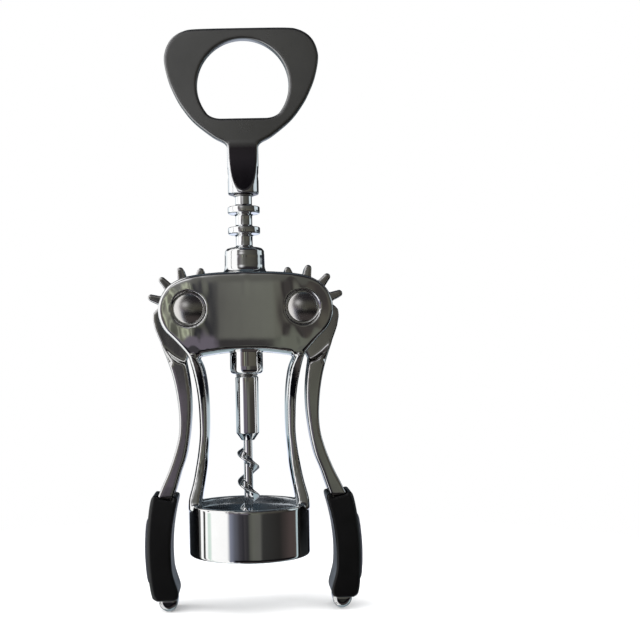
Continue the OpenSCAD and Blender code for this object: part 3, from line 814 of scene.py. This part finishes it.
def floor():
    m = Nodes("pale_floor")
    me = bpy.data.meshes.new("floor")
    s = 0.9
    me.from_pydata([(-s, -s, FLOOR), (s, -s, FLOOR), (s, s, FLOOR), (-s, s, FLOOR)], [], [(0, 1, 2, 3)])
    o = bpy.data.objects.new("floor", me)
    bpy.context.scene.collection.objects.link(o)
    tone = m.noise(6, 4)
    m.link(m.ramp(tone, [(0.3, (0.90, 0.90, 0.90)), (0.7, (0.93, 0.93, 0.93))]), m.b.inputs["Base Color"])
    m.b.inputs["Roughness"].default_value = 0.9
    # the floor thins out into the white surroundings away from the object
    sep = m.t.nodes.new("ShaderNodeVectorMath")
    sep.operation = "LENGTH"
    m.link(m.co, sep.inputs[0])
    fade = m.grey(sep.outputs["Value"], 0.0, 1.0, 0.05, 0.20)
    clear = m.t.nodes.new("ShaderNodeBsdfTransparent")
    mix = m.t.nodes.new("ShaderNodeMixShader")
    m.link(fade, mix.inputs[0])
    m.link(m.b.outputs[0], mix.inputs[1])
    m.link(clear.outputs[0], mix.inputs[2])
    m.link(mix.outputs[0], m.t.nodes["Material Output"].inputs["Surface"])
    me.materials.append(m.mat)
    o.visible_glossy = False
    return o


floor()


class Graph:
    """Short names for arithmetic in a node tree."""

    def __init__(self, t):
        self.t = t

    def put(self, socket, v):
        if hasattr(v, "links"):
            self.t.links.new(v, socket)
        else:
            socket.default_value = v

    def m(self, op, a, b=None):
        n = self.t.nodes.new("ShaderNodeMath")
        n.operation = op
        self.put(n.inputs[0], a)
        if b is not None:
            self.put(n.inputs[1], b)
        return n.outputs[0]

    def step(self, v, a, b):
        """A smooth step of v, 0 at a and 1 at b."""
        n = self.t.nodes.new("ShaderNodeMapRange")
        n.interpolation_type = "SMOOTHSTEP"
        self.put(n.inputs["Value"], v)
        flip = a > b
        n.inputs["From Min"].default_value = min(a, b)
        n.inputs["From Max"].default_value = max(a, b)
        n.inputs["To Min"].default_value = 1.0 if flip else 0.0
        n.inputs["To Max"].default_value = 0.0 if flip else 1.0
        return n.outputs["Result"]

    def mix(self, f, a, b):
        n = self.t.nodes.new("ShaderNodeMix")
        n.data_type = "RGBA"
        self.put(n.inputs["Factor"], f)
        for k, v in (("A", a), ("B", b)):
            self.put(n.inputs[k], v if hasattr(v, "links") else (*v, 1))
        return n.outputs["Result"]

    def ramp(self, fac, stops):
        r = self.t.nodes.new("ShaderNodeValToRGB")
        e = r.color_ramp.elements
        while len(e) < len(stops):
            e.new(0.5)
        for el, (p, c) in zip(e, stops):
            el.position = (p + 180) / 360
            el.color = (*c, 1) if isinstance(c, tuple) else (c, c, c, 1)
        self.t.links.new(fac, r.inputs["Fac"])
        return r.outputs["Color"]


def world():
    """White behind the object. What the metal mirrors is a room in soft bands round the
    vertical: a bright window side on the left, a dark room in front, a narrow pale strip on
    the right, a pale table below and a dim ceiling."""
    w = bpy.data.worlds.new("studio")
    bpy.context.scene.world = w
    w.use_nodes = True
    t = w.node_tree
    t.nodes.clear()
    g = Graph(t)
    out = t.nodes.new("ShaderNodeOutputWorld")
    co = t.nodes.new("ShaderNodeTexCoord").outputs["Generated"]
    sep = t.nodes.new("ShaderNodeSeparateXYZ")
    t.links.new(co, sep.inputs[0])
    x, y, z = sep.outputs
    # azimuth from -Y with the left negative, and elevation, in degrees
    az = g.m("MULTIPLY", g.m("ARCTAN2", x, g.m("MULTIPLY", y, -1.0)), 180 / math.pi)
    el = g.m("MULTIPLY", g.m("ARCSINE", z), 180 / math.pi)
    wob = t.nodes.new("ShaderNodeTexNoise")
    wob.inputs["Scale"].default_value = 9.0
    wob.inputs["Detail"].default_value = 2.0
    t.links.new(co, wob.inputs["Vector"])
    az = g.m("ADD", az, g.m("MULTIPLY", g.m("SUBTRACT", wob.outputs["Fac"], 0.5), 3.0))
    turn = g.m("ADD", g.m("DIVIDE", az, 360.0), 0.5)
    white, dark = (1.0, 1.0, 1.0), (0.002, 0.002, 0.003)
    blue, lav = (0.30, 0.43, 0.52), (0.27, 0.26, 0.36)
    brown, olive = (0.040, 0.030, 0.032), (0.105, 0.100, 0.074)
    dim, red, strip = (0.030, 0.028, 0.022), (0.075, 0.042, 0.040), (0.42, 0.52, 0.55)
    low = g.ramp(turn, [(-180, dark), (-131.5, dark), (-129.5, blue), (-119, blue), (-116.5, white), (-98.5, white),
                        (-97, 0.02), (-93, 0.02), (-91.5, white), (-87, white), (-84, (0.60, 0.72, 0.66)), (-79, (0.66, 0.76, 0.71)),
                        (-76, white), (-43, white), (-37, (0.21, 0.225, 0.29)), (-28, (0.10, 0.105, 0.13)), (-18, (0.047, 0.045, 0.053)),
                        (-12, (0.025, 0.025, 0.030)), (-9.5, (0.046, 0.043, 0.048)), (-4, (0.027, 0.027, 0.030)), (1, (0.080, 0.082, 0.072)),
                        (6, (0.107, 0.110, 0.096)), (20, (0.102, 0.102, 0.094)), (25, (0.032, 0.032, 0.031)), (58, (0.021, 0.020, 0.019)),
                        (84, (0.062, 0.048, 0.046)), (97, (0.066, 0.052, 0.048)), (99.5, strip), (109.5, strip), (112, dark), (180, dark)])
    arm = g.ramp(turn, [(-180, (0.40, 0.48, 0.52)), (-130, (0.40, 0.48, 0.52)), (-120, white), (-98.5, white), (-97, 0.02), (-93, 0.02), (-91.5, white), (-44, white),
                        (-37, (0.16, 0.15, 0.19)), (-24, (0.10, 0.09, 0.11)), (-12, (0.125, 0.110, 0.135)), (-3.6, (0.125, 0.110, 0.135)),
                        (-2.0, (0.035, 0.033, 0.034)), (2.0, (0.035, 0.033, 0.032)), (3.6, (0.122, 0.129, 0.106)), (16, (0.115, 0.118, 0.098)),
                        (30, (0.045, 0.042, 0.038)), (84, (0.030, 0.026, 0.024)), (97, (0.040, 0.034, 0.032)), (101, (0.40, 0.48, 0.52)), (180, (0.40, 0.48, 0.52))])
    plate = (0.112, 0.112, 0.094)
    mid = g.ramp(turn, [(-180, (0.04, 0.05, 0.06)), (-150, (0.05, 0.06, 0.07)), (-138, (0.75, 0.80, 0.83)), (-110, white), (-86, white), (-84.5, 0.04),
                        (-82, 0.04), (-80.5, white), (-45, white), (-41, (0.30, 0.28, 0.34)), (-31, (0.11, 0.09, 0.09)), (-19, (0.08, 0.068, 0.06)),
                        (-15.2, (0.12, 0.12, 0.09)), (-14.2, (0.42, 0.45, 0.33)), (-13.4, (0.42, 0.45, 0.33)), (-12.2, (0.07, 0.06, 0.05)),
                        (-10.4, (0.12, 0.125, 0.10)), (-9.6, (0.32, 0.34, 0.26)), (-8.8, (0.10, 0.10, 0.085)), (-7.4, (0.035, 0.030, 0.030)),
                        (-5.2, (0.050, 0.043, 0.048)), (-3.0, plate), (3.2, plate), (6.5, (0.060, 0.052, 0.048)), (11, (0.050, 0.042, 0.040)),
                        (17, (0.085, 0.080, 0.065)), (60, (0.070, 0.066, 0.052)), (82, (0.030, 0.028, 0.024)), (88, (0.50, 0.57, 0.60)),
                        (97, (0.50, 0.57, 0.60)), (102, (0.018, 0.020, 0.028)), (180, (0.018, 0.020, 0.028))])
    # what the flat of the body mirrors: the room's middle, brightest just right of the axis
    face = g.ramp(turn, [(-19.5, (0.08, 0.068, 0.06)), (-15.2, (0.12, 0.12, 0.09)), (-14.2, (0.42, 0.45, 0.33)), (-13.4, (0.42, 0.45, 0.33)),
                         (-12.2, (0.07, 0.06, 0.05)), (-10.4, (0.12, 0.125, 0.10)), (-9.6, (0.32, 0.34, 0.26)), (-8.8, (0.10, 0.10, 0.085)),
                         (-6.9, (0.075, 0.078, 0.062)), (-6.4, (0.024, 0.024, 0.025)), (-4.2, (0.028, 0.028, 0.031)), (-3.1, (0.042, 0.041, 0.042)),
                         (-2.2, (0.074, 0.074, 0.069)), (-1.3, (0.102, 0.101, 0.092)), (0.4, (0.126, 0.128, 0.111)), (1.2, (0.134, 0.138, 0.118)),
                         (2.1, (0.130, 0.132, 0.111)), (2.9, (0.118, 0.120, 0.100)), (3.7, (0.098, 0.096, 0.082)), (4.6, (0.070, 0.066, 0.058)),
                         (5.5, (0.040, 0.036, 0.034)), (6.6, (0.030, 0.027, 0.026)), (8, (0.045, 0.042, 0.040)), (11, (0.046, 0.040, 0.038)),
                         (17, (0.085, 0.080, 0.065))])
    mid = g.mix(g.step(g.m("ABSOLUTE", az), 17.5, 16.5), mid, face)
    high = g.ramp(turn, [(-180, (0.10, 0.12, 0.14)), (-160, (0.30, 0.36, 0.40)), (-140, (0.80, 0.85, 0.88)), (-110, white), (-88, white),
                         (-86.5, 0.03), (-84.5, 0.03), (-83, white), (-47, white), (-43, (0.17, 0.16, 0.16)), (-36, (0.055, 0.050, 0.050)),
                         (-20, (0.068, 0.066, 0.060)), (0, (0.080, 0.080, 0.070)), (30, (0.070, 0.070, 0.060)), (60, (0.052, 0.050, 0.045)),
                         (80, (0.034, 0.033, 0.030)), (85, (0.50, 0.57, 0.60)), (117, (0.62, 0.70, 0.73)), (124, 0.02), (180, 0.02)])
    behind = g.step(g.m("ABSOLUTE", az), 158, 170)
    c = g.mix(g.step(el, -7.6, -6.8), low, arm)
    c = g.mix(g.step(g.m("ADD", el, g.step(g.m("ABSOLUTE", az), 3.3, 2.9)), -2.4, -0.4), c, mid)
    c = g.mix(g.step(el, 5.8, 7.4), c, high)
    # a pale low wall behind the object, and a slate one above it
    c = g.mix(g.m("MULTIPLY", behind, g.step(el, -2, -5)), c, (0.66, 0.72, 0.86))
    c = g.mix(g.m("MULTIPLY", behind, g.m("MULTIPLY", g.step(el, 0, 2), g.step(el, 14, 8))), c, (0.13, 0.17, 0.20))
    front = g.m("MULTIPLY", g.step(az, -31, -26), g.step(az, 97, 92))
    c = g.mix(g.m("MULTIPLY", front, g.step(el, -10.5, -13)), c, dark)
    c = g.mix(g.m("MULTIPLY", front, g.m("MULTIPLY", g.step(el, -22, -34), g.step(el, -70, -58))), c, (0.055, 0.048, 0.047))
    rear = g.m("MAXIMUM", g.step(az, -112, -120), g.step(az, 97, 105))
    c = g.mix(g.m("MULTIPLY", rear, g.step(el, -44, -54)), c, (0.31, 0.39, 0.42))
    c = g.mix(g.m("MULTIPLY", front, g.step(el, 19, 32)), c, (0.022, 0.020, 0.023))
    c = g.mix(g.m("MULTIPLY", rear, g.step(el, 14, 24)), c, (0.016, 0.018, 0.022))
    # a soft lamp, high and a little left of the viewer
    da = g.m("DIVIDE", g.m("ADD", az, 20.0), 13.0)
    de = g.m("DIVIDE", g.m("SUBTRACT", el, 21.0), 10.0)
    spot = g.m("EXPONENT", g.m("MULTIPLY", g.m("ADD", g.m("MULTIPLY", da, da), g.m("MULTIPLY", de, de)), -1.0))
    c = g.mix(g.m("MULTIPLY", spot, 0.85), c, (0.95, 0.95, 0.97))
    c = g.mix(g.step(el, 60, 72), c, (0.055, 0.074, 0.090))
    lit = t.nodes.new("ShaderNodeBackground")
    lit.inputs["Strength"].default_value = 1.25
    t.links.new(c, lit.inputs["Color"])
    white_bg = t.nodes.new("ShaderNodeBackground")
    white_bg.inputs["Color"].default_value = (1, 1, 1, 1)
    lp = t.nodes.new("ShaderNodeLightPath")
    mix = t.nodes.new("ShaderNodeMixShader")
    t.links.new(lp.outputs["Is Camera Ray"], mix.inputs[0])
    t.links.new(lit.outputs[0], mix.inputs[1])
    t.links.new(white_bg.outputs[0], mix.inputs[2])
    t.links.new(mix.outputs[0], out.inputs["Surface"])


world()
bpy.context.scene.view_settings.view_transform = "Standard"
bpy.context.scene.view_settings.look = "None"


def area(name, loc, size, power, target=(0, 0, 0.07), glossy=False):
    li = bpy.data.lights.new(name, "AREA")
    li.shape = "RECTANGLE"
    li.size, li.size_y = size
    li.energy = power
    o = bpy.data.objects.new(name, li)
    bpy.context.scene.collection.objects.link(o)
    from mathutils import Vector
    o.location = loc
    o.rotation_euler = (Vector(target) - Vector(loc)).to_track_quat("-Z", "Y").to_euler()
    o.visible_glossy = glossy
    return o


# soft key from above and left, for the floor's shading and the black grips
area("key_soft", (-0.5, -0.35, 0.65), (1.5, 1.5), 24.0, glossy=False)
area("fill_soft", (0.6, -0.3, 0.4), (1.5, 1.5), 18.0, glossy=False)

cam = bpy.data.cameras.new("camera")
cam.sensor_width = 36
cam.lens = 36 * 333 / 200
cam.shift_x = (320 - 245.8) / 640
cam.shift_y = (359 - 320) / 640
cam.clip_start = 0.01
co = bpy.data.objects.new("camera", cam)
bpy.context.scene.collection.objects.link(co)
roll = math.radians(-1.04)
co.rotation_mode = "XYZ"
from mathutils import Matrix
co.matrix_world = Matrix.Translation((-0.0002, -0.333, 0.0606)) @ Matrix.Rotation(HALF_PI, 4, "X") @ Matrix.Rotation(roll, 4, "Z")
bpy.context.scene.camera = co

bpy.context.view_layer.update()
